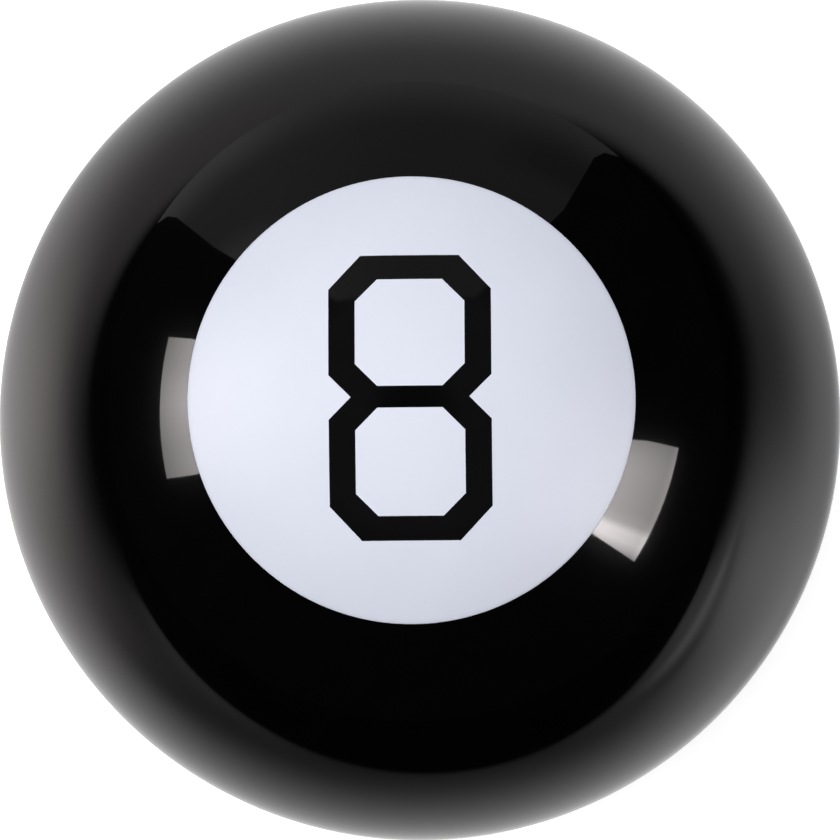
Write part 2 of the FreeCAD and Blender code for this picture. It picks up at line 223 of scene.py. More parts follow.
def upper_half():
    """The upper moulding: recess for the print, hanging collar, hold-down ribs and the rebate of the seam."""
    skin = sphere_arc(BALL_RADIUS, SEAM + SEAM_BEVEL, sphere_height_at(DISC_RADIUS, BALL_RADIUS), 72)
    recess = sphere_arc(BALL_RADIUS - PRINT_DEPTH, sphere_height_at(DISC_RADIUS, BALL_RADIUS - PRINT_DEPTH),
                        BALL_TOP - PRINT_DEPTH, 16)
    recess[-1] = (0, recess[-1][1])
    collar_outside = COLLAR_RADIUS + COLLAR_WALL
    crown = sphere_arc(INSIDE_RADIUS, CENTRE + INSIDE_RADIUS,
                       sphere_height_at(COLLAR_RADIUS, INSIDE_RADIUS), 12)
    crown[0] = (0, crown[0][1])
    collar = [(COLLAR_RADIUS, UPPER_COLLAR_BOTTOM), (collar_outside, UPPER_COLLAR_BOTTOM)]
    rebate_top = SEAM + TONGUE_HEIGHT + FIT_GAP
    side = sphere_arc(INSIDE_RADIUS, sphere_height_at(collar_outside, INSIDE_RADIUS), rebate_top, 20)
    rebate = INSIDE_RADIUS + TONGUE + FIT_GAP
    seam = [(rebate, rebate_top), (rebate, SEAM), (BALL_RADIUS - SEAM_BEVEL * 1.3, SEAM),
            (BALL_RADIUS - SEAM_BEVEL * 0.55, SEAM + SEAM_BEVEL * 0.2)]
    bm = bmesh.new()
    add_lathe(bm, skin + recess + crown + collar + side + seam)
    rib_start, rib_end = UPPER_RIB_REACH
    rib_top = INSIDE_RADIUS + RIB_BITE
    top = sphere_arc(rib_top, sphere_height_at(rib_end, rib_top), sphere_height_at(rib_start, rib_top), 10)
    add_ribs(bm, [(rib_start, LID_HIGH.z), (rib_end, LID_HIGH.z)] + top)
    return finished("upper_moulding", bm)


def lower_half():
    """The lower moulding: flat floor with the window aperture, socket, support ribs and the seam's tongue."""
    skin = sphere_arc(BALL_RADIUS, FOOT_THICKNESS, SEAM - SEAM_BEVEL, 72)
    seam = [(BALL_RADIUS - SEAM_BEVEL * 0.55, SEAM - SEAM_BEVEL * 0.2),
            (BALL_RADIUS - SEAM_BEVEL * 1.3, SEAM)]
    tongue = INSIDE_RADIUS + TONGUE
    tongue_top = SEAM + TONGUE_HEIGHT
    lip = [(tongue, SEAM), (tongue, tongue_top), (INSIDE_RADIUS, tongue_top)]
    socket_outside = COLLAR_RADIUS + COLLAR_WALL
    side = sphere_arc(INSIDE_RADIUS, SEAM - TONGUE_HEIGHT, sphere_depth_at(socket_outside, INSIDE_RADIUS), 24)
    socket = [(socket_outside, LOWER_COLLAR_TOP), (COLLAR_RADIUS, LOWER_COLLAR_TOP),
              (COLLAR_RADIUS, FLOOR_TOP)]
    opening = [(APERTURE_RADIUS, FLOOR_TOP), (APERTURE_RADIUS, FOOT_THICKNESS)]
    bm = bmesh.new()
    add_lathe(bm, skin + seam + lip + side + socket + opening)
    rib_start, rib_end = LOWER_RIB_REACH
    rib_root = INSIDE_RADIUS + RIB_BITE
    wall = sphere_arc(rib_root, LOWER_COLLAR_TOP, sphere_depth_at(rib_start, rib_root), 10)
    wall = [(min(reach, rib_end), height) for reach, height in wall]
    add_ribs(bm, [(rib_start, LOWER_COLLAR_TOP)] + wall)
    return finished("lower_moulding", bm)


# ---- The number ----

def white_disc():
    """The white field: a slice of the sphere, its face a hair below the ink, its rim softly rounded."""
    face = BALL_RADIUS - INK_PROUD
    rim = 0.06 * MM
    top = sphere_arc(face, BALL_TOP - INK_PROUD, sphere_height_at(DISC_RADIUS - rim, face), 56)
    top[0] = (0, top[0][1])
    edge = [(DISC_RADIUS - rim * 0.3, sphere_height_at(DISC_RADIUS - rim * 0.3, face) - rim * 0.3),
            (DISC_RADIUS, sphere_height_at(DISC_RADIUS, face) - rim)]
    back = sphere_arc(BALL_RADIUS - PRINT_DEPTH, sphere_height_at(DISC_RADIUS, BALL_RADIUS - PRINT_DEPTH),
                      BALL_TOP - PRINT_DEPTH, 16)
    back[-1] = (0, back[-1][1])
    return lathe("white_field", top + edge + back)


def inside_polygon(point, polygon):
    """True if a flat point is inside a polygon, by counting the edges that a ray crosses."""
    inside = False
    for start, end in zip(polygon, polygon[1:] + polygon[:1]):
        if (start.y > point.y) != (end.y > point.y):
            crossing = start.x + (point.y - start.y) / (end.y - start.y) * (end.x - start.x)
            inside ^= point.x < crossing
    return inside


def mirrored(right):
    """Closes the right side of an outline, given from top to bottom, with its mirror image."""
    return right + [Vector((-point.x, point.y)) for point in reversed(right)]


def numeral_outlines():
    """The outer outline of the block figure, and its two openings."""
    half_width, half_height = NUMERAL_HIGH.x, NUMERAL_HIGH.y
    side_stroke, end_stroke, middle_stroke = 2.98 * MM, 2.75 * MM, 2.44 * MM
    cut_width, cut_height, waist, inner_cut = 3.6 * MM, 3.85 * MM, 2.5 * MM, 2.5 * MM
    corner = [Vector((half_width - cut_width, half_height)), Vector((half_width, half_height - cut_height)),
              Vector((half_width, waist))]
    outer = mirrored(corner + [Vector((half_width - waist, 0))]
                     + [Vector((point.x, -point.y)) for point in reversed(corner)])
    reach, bottom, top = half_width - side_stroke, middle_stroke / 2, half_height - end_stroke
    opening = mirrored([Vector((reach - inner_cut, top)), Vector((reach, top - inner_cut)),
                        Vector((reach, bottom + inner_cut)), Vector((reach - inner_cut, bottom))])
    return outer, [opening, [Vector((point.x, -point.y)) for point in opening]]


def numeral():
    """The inked figure: a flat grid cut along the figure's edges, wrapped on the sphere and thickened."""
    outer, openings = numeral_outlines()
    bm = bmesh.new()
    cell = 0.6 * MM
    columns = math.ceil(NUMERAL_HIGH.x / cell) + 1
    rows = math.ceil(NUMERAL_HIGH.y / cell) + 1
    grid = [[bm.verts.new((column * cell, row * cell, 0)) for column in range(-columns, columns + 1)]
            for row in range(-rows, rows + 1)]
    for lower, upper in zip(grid, grid[1:]):
        for index in range(len(lower) - 1):
            bm.faces.new((lower[index], lower[index + 1], upper[index + 1], upper[index]))
    for outline in [outer] + openings:
        for start, end in zip(outline, outline[1:] + outline[:1]):
            along = end - start
            everything = bm.verts[:] + bm.edges[:] + bm.faces[:]
            bmesh.ops.bisect_plane(bm, geom=everything, dist=1e-8, plane_co=(start.x, start.y, 0),
                                   plane_no=(-along.y, along.x, 0))
    outside = []
    for face in bm.faces:
        middle = face.calc_center_median().to_2d()
        in_opening = any(inside_polygon(middle, opening) for opening in openings)
        if in_opening or not inside_polygon(middle, outer):
            outside.append(face)
    bmesh.ops.delete(bm, geom=outside, context="FACES")
    bmesh.ops.remove_doubles(bm, verts=bm.verts, dist=1e-7)
    top_faces = bm.faces[:]
    extruded = bmesh.ops.extrude_face_region(bm, geom=top_faces, use_keep_orig=True)
    back = {item for item in extruded["geom"] if isinstance(item, bmesh.types.BMVert)}
    for vert in bm.verts:
        radius = BALL_RADIUS - (INK_DEPTH if vert in back else 0)
        flat = Vector((vert.co.x, vert.co.y))
        height = math.sqrt(BALL_RADIUS ** 2 - flat.length_squared)
        vert.co = Vector((flat.x, flat.y, height)) * (radius / BALL_RADIUS) + Vector((0, 0, CENTRE))
    return finished("black_figure", bm)


# ---- The foot, the window and what is behind it ----

def bezel():
    """The foot ring, its outer edge part of the ball, with softened edges where it meets the table."""
    outside = sphere_arc(BALL_RADIUS, FOOT_THICKNESS, 0.12 * MM, 6)
    foot_edge = sphere_radius_at(0, BALL_RADIUS)
    corners = [(foot_edge - 0.15 * MM, 0.0, 0), (WINDOW_RADIUS + WINDOW_CHAMFER, 0.0, 0.25 * MM),
               (WINDOW_RADIUS, WINDOW_CHAMFER, 0.2 * MM), (WINDOW_RADIUS, FLOOR_TOP, 0),
               (APERTURE_RADIUS - FIT_GAP, FLOOR_TOP, 0), (APERTURE_RADIUS - FIT_GAP, FOOT_THICKNESS, 0),
               (outside[0][0], FOOT_THICKNESS, 0)]
    return lathe("foot_ring", rounded(corners) + outside[1:])


def window():
    """The clear stepped window."""
    boss = WINDOW_RADIUS - LENS_GAP
    flange = LENS_HIGH.x
    corners = [(0, LENS_LOW.z, 0), (boss, LENS_LOW.z, 0.2 * MM), (boss, FLOOR_TOP, 0), (flange, FLOOR_TOP, 0),
               (flange, LENS_HIGH.z, 0), (0, LENS_HIGH.z, 0)]
    return lathe("clear_window", rounded(corners), turns=128)


def liquid():
    """The liquid as one closed body round the die, below the funnel, up its spout and above it."""
    bottom = LENS_HIGH.z + FLUID_GAP
    bore = TANK_BORE - FLUID_GAP
    rim = TANK_BORE - FIT_GAP - TRAP_WALL
    under_rim = rim - FLUID_GAP
    under_trap = TRAP_LOW.z - FLUID_GAP
    rim_top = TRAP_LOW.z + TRAP_RIM_HEIGHT
    over_rim = rim_top + TRAP_WALL + FLUID_GAP
    in_spout = SPOUT_RADIUS - FLUID_GAP
    round_spout = SPOUT_RADIUS + TRAP_WALL + FLUID_GAP
    spout_bottom = TRAP_HIGH.z - SPOUT_HEIGHT
    spout_top = TRAP_HIGH.z + FLUID_GAP
    corners = [(0, bottom), (bore, bottom), (bore, under_trap), (under_rim, under_trap),
               (under_rim, rim_top - FLUID_GAP), (in_spout, spout_bottom - FLUID_GAP), (in_spout, spout_top),
               (round_spout, spout_top), (round_spout, spout_bottom + TRAP_WALL + FLUID_GAP),
               (rim + FLUID_GAP, over_rim), (bore, over_rim), (bore, FLUID_HIGH.z), (0, FLUID_HIGH.z)]
    return lathe("blue_liquid_body", corners, turns=96)


def softened_copy(node, name, width=DIE_EDGE_SOFTNESS):
    """A copy of a CAD piece with its flat faces merged and its edges rounded a little."""
    bm = bmesh.new()
    bm.from_mesh(frame["nodes"][node].data)
    bmesh.ops.remove_doubles(bm, verts=bm.verts, dist=1e-6)
    bmesh.ops.dissolve_limit(bm, angle_limit=math.radians(1), verts=bm.verts, edges=bm.edges)
    sharp = [edge for edge in bm.edges if edge.is_manifold and edge.calc_face_angle(0) > math.radians(25)]
    bmesh.ops.bevel(bm, geom=sharp, offset=width, segments=2, profile=0.5, affect="EDGES",
                    clamp_overlap=True)
    return finished(name, bm)


# ---- Materials ----

class Shader:
    """A node material with one Principled BSDF."""

    def __init__(self, name, colour, roughness, ior=1.5, **sockets):
        self.material = bpy.data.materials.new(name)
        self.material.use_nodes = True
        self.nodes = self.material.node_tree.nodes
        self.links = self.material.node_tree.links
        self.principled = self.nodes["Principled BSDF"]
        self.output = self.nodes["Material Output"]
        self.principled.inputs["Base Color"].default_value = (*colour, 1)
        self.principled.inputs["Roughness"].default_value = roughness
        self.principled.inputs["IOR"].default_value = ior
        for socket, setting in sockets.items():
            self.principled.inputs[socket].default_value = setting
        self.place = self.nodes.new("ShaderNodeTexCoord").outputs["Object"]

    def noise(self, size, detail=2.0, roughness=0.5):
        """Noise whose features are about the given size."""
        node = self.nodes.new("ShaderNodeTexNoise")
        node.inputs["Scale"].default_value = 1 / size
        node.inputs["Detail"].default_value = detail
        node.inputs["Roughness"].default_value = roughness
        self.links.new(self.place, node.inputs["Vector"])
        return node.outputs["Fac"]

    def ramp(self, source, stops):
        """A colour ramp of (position, grey or colour) stops."""
        node = self.nodes.new("ShaderNodeValToRGB")
        elements = node.color_ramp.elements
        while len(elements) < len(stops):
            elements.new(0.5)
        for element, (position, shade) in zip(elements, stops):
            element.position = position
            colour = shade if isinstance(shade, tuple) else (shade, shade, shade)
            element.color = (*colour, 1)
        self.links.new(source, node.inputs["Fac"])
        return node.outputs["Color"]

    def math(self, operation, *operands):
        node = self.nodes.new("ShaderNodeMath")
        node.operation = operation
        for index, operand in enumerate(operands):
            if isinstance(operand, (int, float)):
                node.inputs[index].default_value = operand
            else:
                self.links.new(operand, node.inputs[index])
        return node.outputs["Value"]

    def smooth(self, source, start, end):
        """Rises smoothly from 0 to 1 as the source goes from start to end."""
        node = self.nodes.new("ShaderNodeMapRange")
        node.interpolation_type = "SMOOTHSTEP"
        node.inputs["From Min"].default_value = start
        node.inputs["From Max"].default_value = end
        self.links.new(source, node.inputs["Value"])
        return node.outputs["Result"]

    def coordinates(self):
        """The X, Y and Z of a point."""
        node = self.nodes.new("ShaderNodeSeparateXYZ")
        self.links.new(self.place, node.inputs["Vector"])
        return node.outputs["X"], node.outputs["Y"], node.outputs["Z"]

    def distance(self):
        """How far a point is from the origin."""
        node = self.nodes.new("ShaderNodeVectorMath")
        node.operation = "LENGTH"
        self.links.new(self.place, node.inputs[0])
        return node.outputs["Value"]

    def bump(self, height, distance, strength=1.0, after=None):
        node = self.nodes.new("ShaderNodeBump")
        node.inputs["Distance"].default_value = distance
        node.inputs["Strength"].default_value = strength
        self.links.new(height, node.inputs["Height"])
        if after is not None:
            self.links.new(after, node.inputs["Normal"])
        return node.outputs["Normal"]

    def drive(self, socket, source):
        self.links.new(source, self.principled.inputs[socket])


def black_gloss(name, colour, roughness):
    """Polished moulded plastic: slow waviness, a fine skin, faint smears and a trace of haze."""
    shader = Shader(name, colour, roughness, **{"Coat Weight": 0.06, "Coat Roughness": 0.2})
    waves = shader.bump(shader.noise(14 * MM, detail=1), 0.010 * MM, 0.6)
    skin = shader.bump(shader.noise(0.9 * MM, detail=3), 0.0006 * MM, 0.5, after=waves)
    shader.drive("Normal", skin)
    smears = shader.noise(11 * MM, detail=5, roughness=0.65)
    shader.drive("Roughness", shader.ramp(smears, [(0.35, roughness * 0.7), (0.75, roughness * 1.8)]))
    tone = shader.noise(6 * MM, detail=2)
    shader.drive("Base Color", shader.ramp(tone, [(0.3, tuple(0.8 * part for part in colour)),
                                                  (0.7, tuple(1.2 * part for part in colour))]))
    return shader.material


def printed(name, dark, light, roughness, grain=0.25):
    """Screen-printed ink: a faint mottle, slow tone change and a satin skin."""
    shader = Shader(name, light, roughness)
    mottle = shader.noise(grain * MM, detail=3, roughness=0.7)
    slow = shader.noise(9 * MM, detail=2)
    mixed = shader.math("ADD", shader.math("MULTIPLY", mottle, 0.4), shader.math("MULTIPLY", slow, 0.6))
    shader.drive("Base Color", shader.ramp(mixed, [(0.3, dark), (0.7, light)]))
    shader.drive("Roughness", shader.ramp(mottle, [(0.2, roughness * 0.85), (0.8, roughness * 1.15)]))
    shader.drive("Normal", shader.bump(mottle, 0.002 * MM, 0.4))
    return shader.material


def moulded(name, colour, roughness, grain, **sockets):
    """Plain moulded plastic with a fine grain and slight flow marks."""
    shader = Shader(name, colour, roughness, **sockets)
    grainy = shader.noise(grain * MM, detail=4, roughness=0.6)
    flow = shader.noise(12 * MM, detail=3)
    shader.drive("Normal", shader.bump(grainy, 0.01 * MM, 0.4))
    shader.drive("Roughness", shader.ramp(grainy, [(0.3, roughness * 0.8), (0.7, roughness * 1.2)]))
    darker = tuple(0.93 * part for part in colour)
    shader.drive("Base Color", shader.ramp(flow, [(0.35, darker), (0.65, colour)]))
    return shader.material


def clear_plastic():
    shader = Shader("clear_polystyrene", (0.97, 0.985, 1.0), 0.015, ior=WINDOW_INDEX,
                    **{"Transmission Weight": 1.0})
    shader.drive("Normal", shader.bump(shader.noise(9 * MM, detail=1), 0.004 * MM, 0.5))
    return shader.material


def dyed_liquid():
    """Clear liquid whose dye takes the red and green out of the light within a few millimetres."""
    shader = Shader("dyed_liquid", (1.0, 1.0, 1.0), 0.0, ior=LIQUID_INDEX, **{"Transmission Weight": 1.0})
    volume = shader.nodes.new("ShaderNodeVolumeAbsorption")
    volume.inputs["Color"].default_value = (0.05, 0.14, 0.62, 1)
    volume.inputs["Density"].default_value = 420
    shader.links.new(volume.outputs["Volume"], shader.output.inputs["Volume"])
    return shader.material


def dress(thing, material):
    """Gives a piece or a CAD node one material."""
    thing.data.materials.clear()
    thing.data.materials.append(material)


# ---- The object ----

SHELL_BLACK = black_gloss("gloss_black", (0.0010, 0.0010, 0.0013), 0.03)
BEZEL_BLACK = black_gloss("foot_black", (0.004, 0.004, 0.0045), 0.16)
PRINT_WHITE = printed("print_white", (0.740, 0.768, 0.875), (0.770, 0.798, 0.905), 0.50)
PRINT_BLACK = printed("print_black", (0.0010, 0.0010, 0.0010), (0.0018, 0.0018, 0.0018), 0.07)
WINDOW_CLEAR = clear_plastic()
LIQUID_BLUE = dyed_liquid()
DIE_WHITE = moulded("die_white", (0.86, 0.88, 0.90), 0.38, 0.3)
TANK_NATURAL = moulded("tank_natural", (0.72, 0.75, 0.78), 0.35, 0.4, **{"Subsurface Weight": 0.15})
TRAP_NATURAL = moulded("trap_natural", (0.60, 0.64, 0.70), 0.35, 0.4)
PLUG_GREY = moulded("plug_grey", (0.50, 0.52, 0.55), 0.5, 0.3)
SEAL_BLACK = moulded("seal_black", (0.025, 0.025, 0.025), 0.75, 0.15)

BUILT = [
    (upper_half(), "upper_shell", "ball", SHELL_BLACK, "black_gloss"),
    (lower_half(), "lower_shell", "ball", SHELL_BLACK, "black_gloss"),
    (white_disc(), "number_disc", "ball", PRINT_WHITE, "white_print"),
    (numeral(), "numeral_eight", "ball", PRINT_BLACK, "black_print"),
    (bezel(), "window_bezel", "ball", BEZEL_BLACK, "bezel_black"),
    (window(), "window_lens", "ball", WINDOW_CLEAR, "clear_window"),
    (liquid(), "dyed_fluid", "fluid", LIQUID_BLUE, "blue_liquid"),
    (softened_copy("die_half_a", "die_front"), "die_half_a", "die", DIE_WHITE, "die_white"),
    (softened_copy("die_half_b", "die_back"), "die_half_b", "die", DIE_WHITE, "die_white"),
]
for piece, node, body, material, slot_name in BUILT:
    dress(piece, material)
    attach(piece, body)
    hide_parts(node)

for node, material in (("lens_gasket", SEAL_BLACK), ("fluid_tank", TANK_NATURAL), ("tank_lid", TANK_NATURAL),
                       ("filler_plug", PLUG_GREY), ("bubble_trap", TRAP_NATURAL)):
    dress(frame["nodes"][node], material)


# ---- The stage: floor, backdrop, lights and camera ----

BALL_CENTRE = Vector((0, 0, CENTRE))
SOFTBOX_DISTANCE = 1.15
OVERHEAD_DISTANCE = 1.4


def direction(azimuth, elevation):
    """A unit vector; azimuth is counted from +X towards +Y, elevation from the floor up, in degrees."""
    turn, lift = math.radians(azimuth), math.radians(elevation)
    return Vector((math.cos(turn) * math.cos(lift), math.sin(turn) * math.cos(lift), math.sin(lift)))


def sheet(name, rows, material):
    """A stage surface through rows of points."""
    bm = bmesh.new()
    rows = [[bm.verts.new(point) for point in row] for row in rows]
    for lower, upper in zip(rows, rows[1:]):
        for index in range(len(lower) - 1):
            bm.faces.new((lower[index], lower[index + 1], upper[index + 1], upper[index]))
    mesh = bpy.data.meshes.new(name)
    bm.to_mesh(mesh)
    bm.free()
    mesh.shade_smooth()
    mesh.materials.append(material)
    thing = bpy.data.objects.new(name, mesh)
    bpy.context.scene.collection.objects.link(thing)
    return thing


def seen_only_by(thing, *rays):
    """Hides a stage surface from all rays but these."""
    for ray in ("camera", "diffuse", "glossy", "transmission", "shadow"):
        setattr(thing, "visible_" + ray, ray in rays)


def floor():
    """The pale floor that the camera sees, made to glow until overexposed; its shade under the ball is partly
    a real shadow and partly painted shade, by less glow there.
    """
    shader = Shader("pale_floor_painted_glow", (0.88, 0.88, 0.88), 0.9, **{"Specular IOR Level": 0.1})
    shader.principled.inputs["Emission Color"].default_value = (1, 1, 1, 1)
    away = shader.distance()
    # Painted glow: less emission under the ball paints shade there, more past its edge and far off whitens
    # the floor.
    painted_glow_past_ball_edge = shader.math("MULTIPLY", shader.smooth(away, 0.6 * BALL_RADIUS, 1.1 * BALL_RADIUS), 0.22)
    painted_glow_far_off = shader.math("MULTIPLY", shader.smooth(away, 0.3, 3.0), 0.16)
    shader.drive("Emission Strength", shader.math("ADD", shader.math("ADD", painted_glow_past_ball_edge, painted_glow_far_off), 0.46))
    reach = 30.0
    rows = [[(-reach, end, 0), (reach, end, 0)] for end in (-reach, reach)]
    seen_only_by(sheet("floor", rows, shader.material), "camera", "transmission", "shadow")


def glow(name, strength_of, colour_of=None):
    """An emission material whose strength, and colour if it isn't white, are functions of the shader."""
    shader = Shader(name, (0, 0, 0), 1.0)
    emission = shader.nodes.new("ShaderNodeEmission")
    shader.links.new(strength_of(shader), emission.inputs["Strength"])
    if colour_of is not None:
        shader.links.new(colour_of(shader), emission.inputs["Color"])
    shader.links.new(emission.outputs["Emission"], shader.output.inputs["Surface"])
    shader.nodes.remove(shader.principled)
    return shader.material


def bell(shader, offset, width):
    """A bell curve of height one: the offset is a socket, the width a number."""
    share = shader.math("DIVIDE", offset, width)
    return shader.math("EXPONENT", shader.math("MULTIPLY", shader.math("MULTIPLY", share, share), -1.0))


TABLE_REACH = 3.0
BACKDROP_FOOT = 0.50
PAINTED_LIGHT_PATCHES = [
    # painted light (strength above 0) or painted shade (below 0) on the emissive paper: what it is, azimuth,
    # distance from the middle, strength, half-angle, spread outwards
    ("sheen under the left lamp", 176, 0.165, 0.77, 21, 0.6),
    ("sheen under the right lamp", -23, 0.195, 0.74, 20, 0.6),
    ("far end of that sheen", -20, 0.360, 0.15, 20, 0.35),
    ("paper right of the ball", 18, 0.280, 0.10, 28, 0.35),
    ("paper left of the front", -155, 0.120, 0.14, 25, 0.6),
    ("paper beyond it", -146, 0.260, 0.13, 20, 0.6),
    ("shade between them", -138, 0.155, -0.10, 14, 0.22),
    ("shade right of the ball", 2, 0.072, -0.33, 38, 0.3),
    ("shade left of the ball", 150, 0.072, -0.20, 32, 0.3),
    ("shade at the far left", 170, 0.260, -0.11, 20, 0.35),
    ("shade right of the front", -34, 0.068, -0.17, 20, 0.14),
]
PAINTED_EDGE_LINES = [
    # painted highlights and shades along the paper's front edge: what it is, how far inside the front edge,
    # lean across, half-width, strength, the places across that it comes in over, and those that it goes out
    # over
    ("painted highlight along the paper's lip", 0.015, 0, 0.035, 0.045, (-0.40, -0.30), (0.50, 0.34)),
    ("more of it on the right", 0.015, 0, 0.035, 0.06, (0.06, 0.12), (0.50, 0.34)),
    ("more of it on the left", 0.015, 0, 0.050, 0.10, (-0.02, -0.16), (-0.38, -0.28)),
    ("painted highlight curling on the right", -0.010, 0.36, 0.017, 0.26, (0.12, 0.18), (0.34, 0.26)),
    ("shade inside the curl", 0.025, 0.36, 0.017, -0.17, (0.10, 0.16), (0.32, 0.24)),
]


def inside_front_edge(shader, across, along):
    """How far a point is inside the paper's front edge, which bows inwards a little in the middle."""
    bow = shader.math("MULTIPLY", bell(shader, shader.math("SUBTRACT", across, 0.07), 0.16), 0.038)
    return shader.math("SUBTRACT", shader.math("ADD", along, 0.235), bow)


def table_light(shader):
    """Painted light on the white paper under two lamps: a painted pool round the ball, a painted fill from
    the backdrop, painted sheens and shades.
    """
    across, along, _ = shader.coordinates()
    away = shader.distance()
    total = shader.math("MULTIPLY", bell(shader, away, 0.115), 0.98)
    fill = shader.math("SUBTRACT", 0.35, shader.math("MULTIPLY", bell(shader, away, 0.15), 0.35))
    for share in (shader.smooth(shader.math("DIVIDE", along, away), -0.3, 0.75),
                  shader.smooth(across, 0.34, 0.12), shader.smooth(across, -0.60, -0.30)):
        fill = shader.math("MULTIPLY", fill, share)
    total = shader.math("ADD", total, fill)
    for _, azimuth, distance, strength, half_angle, spread in PAINTED_LIGHT_PATCHES:
        turn = math.radians(azimuth)
        out = shader.math("ADD", shader.math("MULTIPLY", across, math.cos(turn)),
                          shader.math("MULTIPLY", along, math.sin(turn)))
        aside = shader.math("SUBTRACT", shader.math("MULTIPLY", along, math.cos(turn)),
                            shader.math("MULTIPLY", across, math.sin(turn)))
        angle = shader.math("ARCTAN2", aside, out)
        octaves = shader.math("LOGARITHM", shader.math("DIVIDE", away, distance), math.e)
        patch = shader.math("MULTIPLY", bell(shader, angle, math.radians(half_angle)),
                            bell(shader, octaves, spread))
        total = shader.math("ADD", total, shader.math("MULTIPLY", patch, strength))
    inside = inside_front_edge(shader, across, along)
    for _, distance, lean, half_width, strength, *spans in PAINTED_EDGE_LINES:
        middle = shader.math("ADD", shader.math("MULTIPLY", across, lean), distance)
        line = bell(shader, shader.math("SUBTRACT", inside, middle), half_width)
        for span in spans:
            line = shader.math("MULTIPLY", line, shader.smooth(across, *span))
        total = shader.math("ADD", total, shader.math("MULTIPLY", line, strength))
    total = shader.math("MULTIPLY", total, shader.smooth(inside, -0.012, 0.012))
    return shader.math("MAXIMUM", total, 0.0)


def table_light_tint(shader):
    """The painted light on the paper is a little warmer under the left lamp."""
    across, _, _ = shader.coordinates()
    return shader.ramp(shader.smooth(across, -0.02, -0.16), [(0, 1.0), (1, (1.0, 0.93, 0.92))])


def mirrored_table():
    """What the polish mirrors below the ball: an emissive sheet with the lit paper's light and shade painted
    on it, seen by reflections only.
    """
    lift = 0.0002
    rows = [[(-TABLE_REACH, -TABLE_REACH, lift), (TABLE_REACH, -TABLE_REACH, lift)],
            [(-TABLE_REACH, BACKDROP_FOOT, lift), (TABLE_REACH, BACKDROP_FOOT, lift)]]
    seen_only_by(sheet("mirrored_table", rows, glow("table_glow", table_light, table_light_tint)), "glossy")


BACKDROP_PAINTED_SHADES = [
    # painted light (strength above 0) or painted shade (below 0) on the emissive backdrop: what it is,
    # strength, the heights that it comes in over, the places across that it comes in over
    ("curve at the foot", 0.15, (0.14, -0.03), None),
    ("foot towards the left lamp", 0.15, (0.14, -0.03), (-0.15, -0.35)),
    ("side towards the left lamp", 0.06, None, (0.05, -0.35)),
    ("upper left corner", 0.20, (0.26, 0.45), (-0.30, -0.45)),
    ("right edge", -0.055, (0.26, 0.18), (0.10, 0.28)),
    ("top", 0.02, (0.20, 0.60), None),
]


def backdrop_light(shader):
    """The backdrop's painted light: a grey paper that glows, brightest at its foot and towards the left lamp.
    """
    across, _, up = shader.coordinates()
    total = 0.17
    for _, strength, heights, places in BACKDROP_PAINTED_SHADES:
        share = strength
        for coordinate, span in ((up, heights), (across, places)):
            if span is not None:
                share = shader.math("MULTIPLY", shader.smooth(coordinate, *span), share)
        total = shader.math("ADD", share, total)
    return total


def mirrored_backdrop():
    """The paper backdrop that rises behind the ball, narrowing upwards: an emissive sheet with painted light,
    seen by reflections only.
    """
    bend = 0.06
    outline = ((-0.575, 0.336, bend, 0.001), (-0.585, 0.337, 0.3 * bend, 0.3 * bend),
               (-0.590, 0.338, 0, bend), (-0.595, 0.362, 0, 0.30), (-0.580, 0.350, 0, 0.42),
               (-0.400, 0.300, 0, 0.75), (-0.350, 0.270, 0, 0.92))
    rows = [[(left, BACKDROP_FOOT - set_back, height), (right, BACKDROP_FOOT - set_back, height)]
            for left, right, set_back, height in outline]
    seen_only_by(sheet("mirrored_backdrop", rows, glow("backdrop_glow", backdrop_light)), "glossy")


def lamp_pattern(light, across, up, skew):
    """Gives a lamp's face brightness steps across it and up it, as (share, brightness) pairs.

    skew is how far the steps across lean over the height, so that their shares run from 0 to 1 + skew.
    """
    light.use_nodes = True
    nodes, links = light.node_tree.nodes, light.node_tree.links
    split = nodes.new("ShaderNodeSeparateXYZ")
    links.new(nodes.new("ShaderNodeNewGeometry").outputs["Parametric"], split.inputs["Vector"])
    lean = nodes.new("ShaderNodeMath")
    lean.operation = "MULTIPLY_ADD"
    lean.inputs[1].default_value = skew
    links.new(split.outputs["Y"], lean.inputs[0])
    links.new(split.outputs["X"], lean.inputs[2])
    leaning = nodes.new("ShaderNodeMath")
    leaning.operation = "DIVIDE"
    leaning.inputs[1].default_value = 1 + skew
    links.new(lean.outputs["Value"], leaning.inputs[0])
    brightest = 3.0
    product = nodes.new("ShaderNodeMath")
    product.operation = "MULTIPLY"
    for index, (share_of_face, reach, steps) in enumerate(((leaning.outputs["Value"], 1 + skew, across),
                                                           (split.outputs["Y"], 1, up))):
        curve = nodes.new("ShaderNodeFloatCurve")
        points = curve.mapping.curves[0].points
        while len(points) < len(steps):
            points.new(0.5, 0.5)
        for point, (share, brightness) in zip(points, steps):
            point.location = (share / reach, brightness / brightest)
            point.handle_type = "VECTOR"
        curve.mapping.update()
        links.new(share_of_face, curve.inputs["Value"])
        links.new(curve.outputs["Value"], product.inputs[index])
    scale = nodes.new("ShaderNodeMath")
    scale.operation = "MULTIPLY"
    scale.inputs[1].default_value = brightest ** 2
    links.new(product.outputs["Value"], scale.inputs[0])
    links.new(scale.outputs["Value"], nodes["Emission"].inputs["Strength"])


def lamp(name, place, facing, width, height, radiance, rays):
    """A rectangular lamp that these rays see."""
    light = bpy.data.lights.new(name, "AREA")
    light.shape = "RECTANGLE"
    light.size = width
    light.size_y = height
    light.energy = radiance * math.pi * width * height
    thing = bpy.data.objects.new(name, light)
    thing.location = place
    thing.rotation_mode = "QUATERNION"
    thing.rotation_quaternion = facing.to_track_quat("Z", "Y")
    seen_only_by(thing, *rays)
    bpy.context.scene.collection.objects.link(thing)
    return light


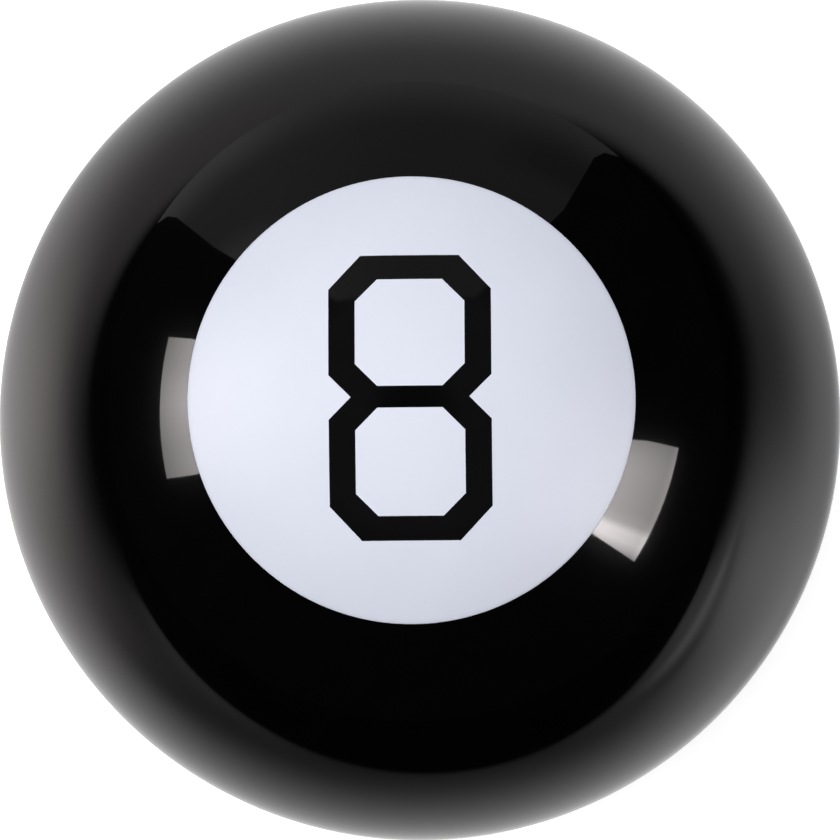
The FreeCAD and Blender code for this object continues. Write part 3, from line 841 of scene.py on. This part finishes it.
def softbox(name, azimuth, elevation, facing, width, height, mirrored, shed, across, up, skew=0.0):
    """A softbox as two lamps: one for what the polish mirrors, and one for the light that it sheds."""
    place = BALL_CENTRE + direction(azimuth, elevation) * SOFTBOX_DISTANCE
    towards = direction(azimuth, facing)
    face = lamp(name + "_mirrored", place, towards, width, height, mirrored, ("glossy",))
    face.color = (1.0, 0.945, 0.945)
    lamp_pattern(face, across, up, skew)
    lamp(name, place, towards, width, height, shed, ("diffuse", "transmission"))


def world():
    """Pale to the camera, grey to the diffuse and transmitted light, and a dark room to the polish."""
    room = bpy.data.worlds.new("room")
    room.use_nodes = True
    nodes, links = room.node_tree.nodes, room.node_tree.links
    background = nodes["Background"]
    place = nodes.new("ShaderNodeTexCoord")
    split = nodes.new("ShaderNodeSeparateXYZ")
    links.new(place.outputs["Generated"], split.inputs["Vector"])
    ceiling = nodes.new("ShaderNodeValToRGB")
    links.new(split.outputs["Z"], ceiling.inputs["Fac"])
    shades = ceiling.color_ramp.elements
    for position, shade in ((0.70, 0.006), (0.86, 0.09), (0.975, 0.08), (0.997, 0.02)):
        step = shades.new(position)
        step.color = (shade, shade, 1.15 * shade, 1)
    shades.remove(shades[0])
    shades.remove(shades[-1])
    path = nodes.new("ShaderNodeLightPath")
    colour = ceiling.outputs["Color"]
    for ray, shade in (("Is Diffuse Ray", (0.10, 0.10, 0.105, 1)), ("Is Camera Ray", (0.93, 0.93, 0.93, 1)),
                       ("Is Transmission Ray", (0.5, 0.5, 0.5, 1))):
        mix = nodes.new("ShaderNodeMix")
        mix.data_type = "RGBA"
        links.new(path.outputs[ray], mix.inputs["Factor"])
        links.new(colour, mix.inputs["A"])
        mix.inputs["B"].default_value = shade
        colour = mix.outputs["Result"]
    links.new(colour, background.inputs["Color"])
    bpy.context.scene.world = room


def camera():
    """Nearly straight down on the number, from a little towards the numeral's foot.

    The ball's outline goes a hair past the frame's edges.
    """
    radii_away = 13.17
    overfill = 1.001
    back = direction(-67.2, 86.75)
    data = bpy.data.cameras.new("camera")
    data.sensor_width = 36
    data.lens = overfill * data.sensor_width / 2 * math.sqrt(radii_away ** 2 - 1)
    data.clip_start = 0.01
    data.clip_end = 100
    roll = math.radians(0.45)
    right = Vector((math.sin(roll), math.cos(roll), 0)).cross(back).normalized()
    eye = bpy.data.objects.new("camera", data)
    eye.matrix_world = Matrix((right, back.cross(right), back)).transposed().to_4x4()
    eye.location = BALL_CENTRE + back * radii_away * BALL_RADIUS
    bpy.context.scene.collection.objects.link(eye)
    bpy.context.scene.camera = eye


floor()
mirrored_table()
mirrored_backdrop()
softbox("left_softbox", 177.8, 35.5, 26, 0.611, 0.66, 6.5, 3.0,
        across=((0, 0.80), (0.20, 0.86), (0.34, 1.0), (0.48, 1.06), (0.77, 0.79), (1, 0.72)),
        up=((0, 0.68), (0.28, 1.32), (1, 1.32)))
softbox("right_softbox", -21.0, 33.2, 8, 0.483, 0.665, 7.0, 1.2,
        across=((0, 0.8), (0.05, 1.5), (0.12, 2.1), (0.21, 2.15), (0.25, 1.6), (0.28, 1.2), (0.38, 1.0),
                (0.75, 0.97), (0.88, 0.88), (1.04, 0.68), (1.05, 0), (1.15, 0)),
        up=((0, 0.90), (0.06, 0.76), (0.4, 1.17), (1, 1.17)), skew=0.15)
overhead = direction(150, 80)
lamp("overhead_bounce", BALL_CENTRE + overhead * OVERHEAD_DISTANCE, overhead, 1.2, 1.2, 4.2,
     ("diffuse", "transmission"))
world()
camera()
bpy.context.scene.view_settings.view_transform = "Standard"
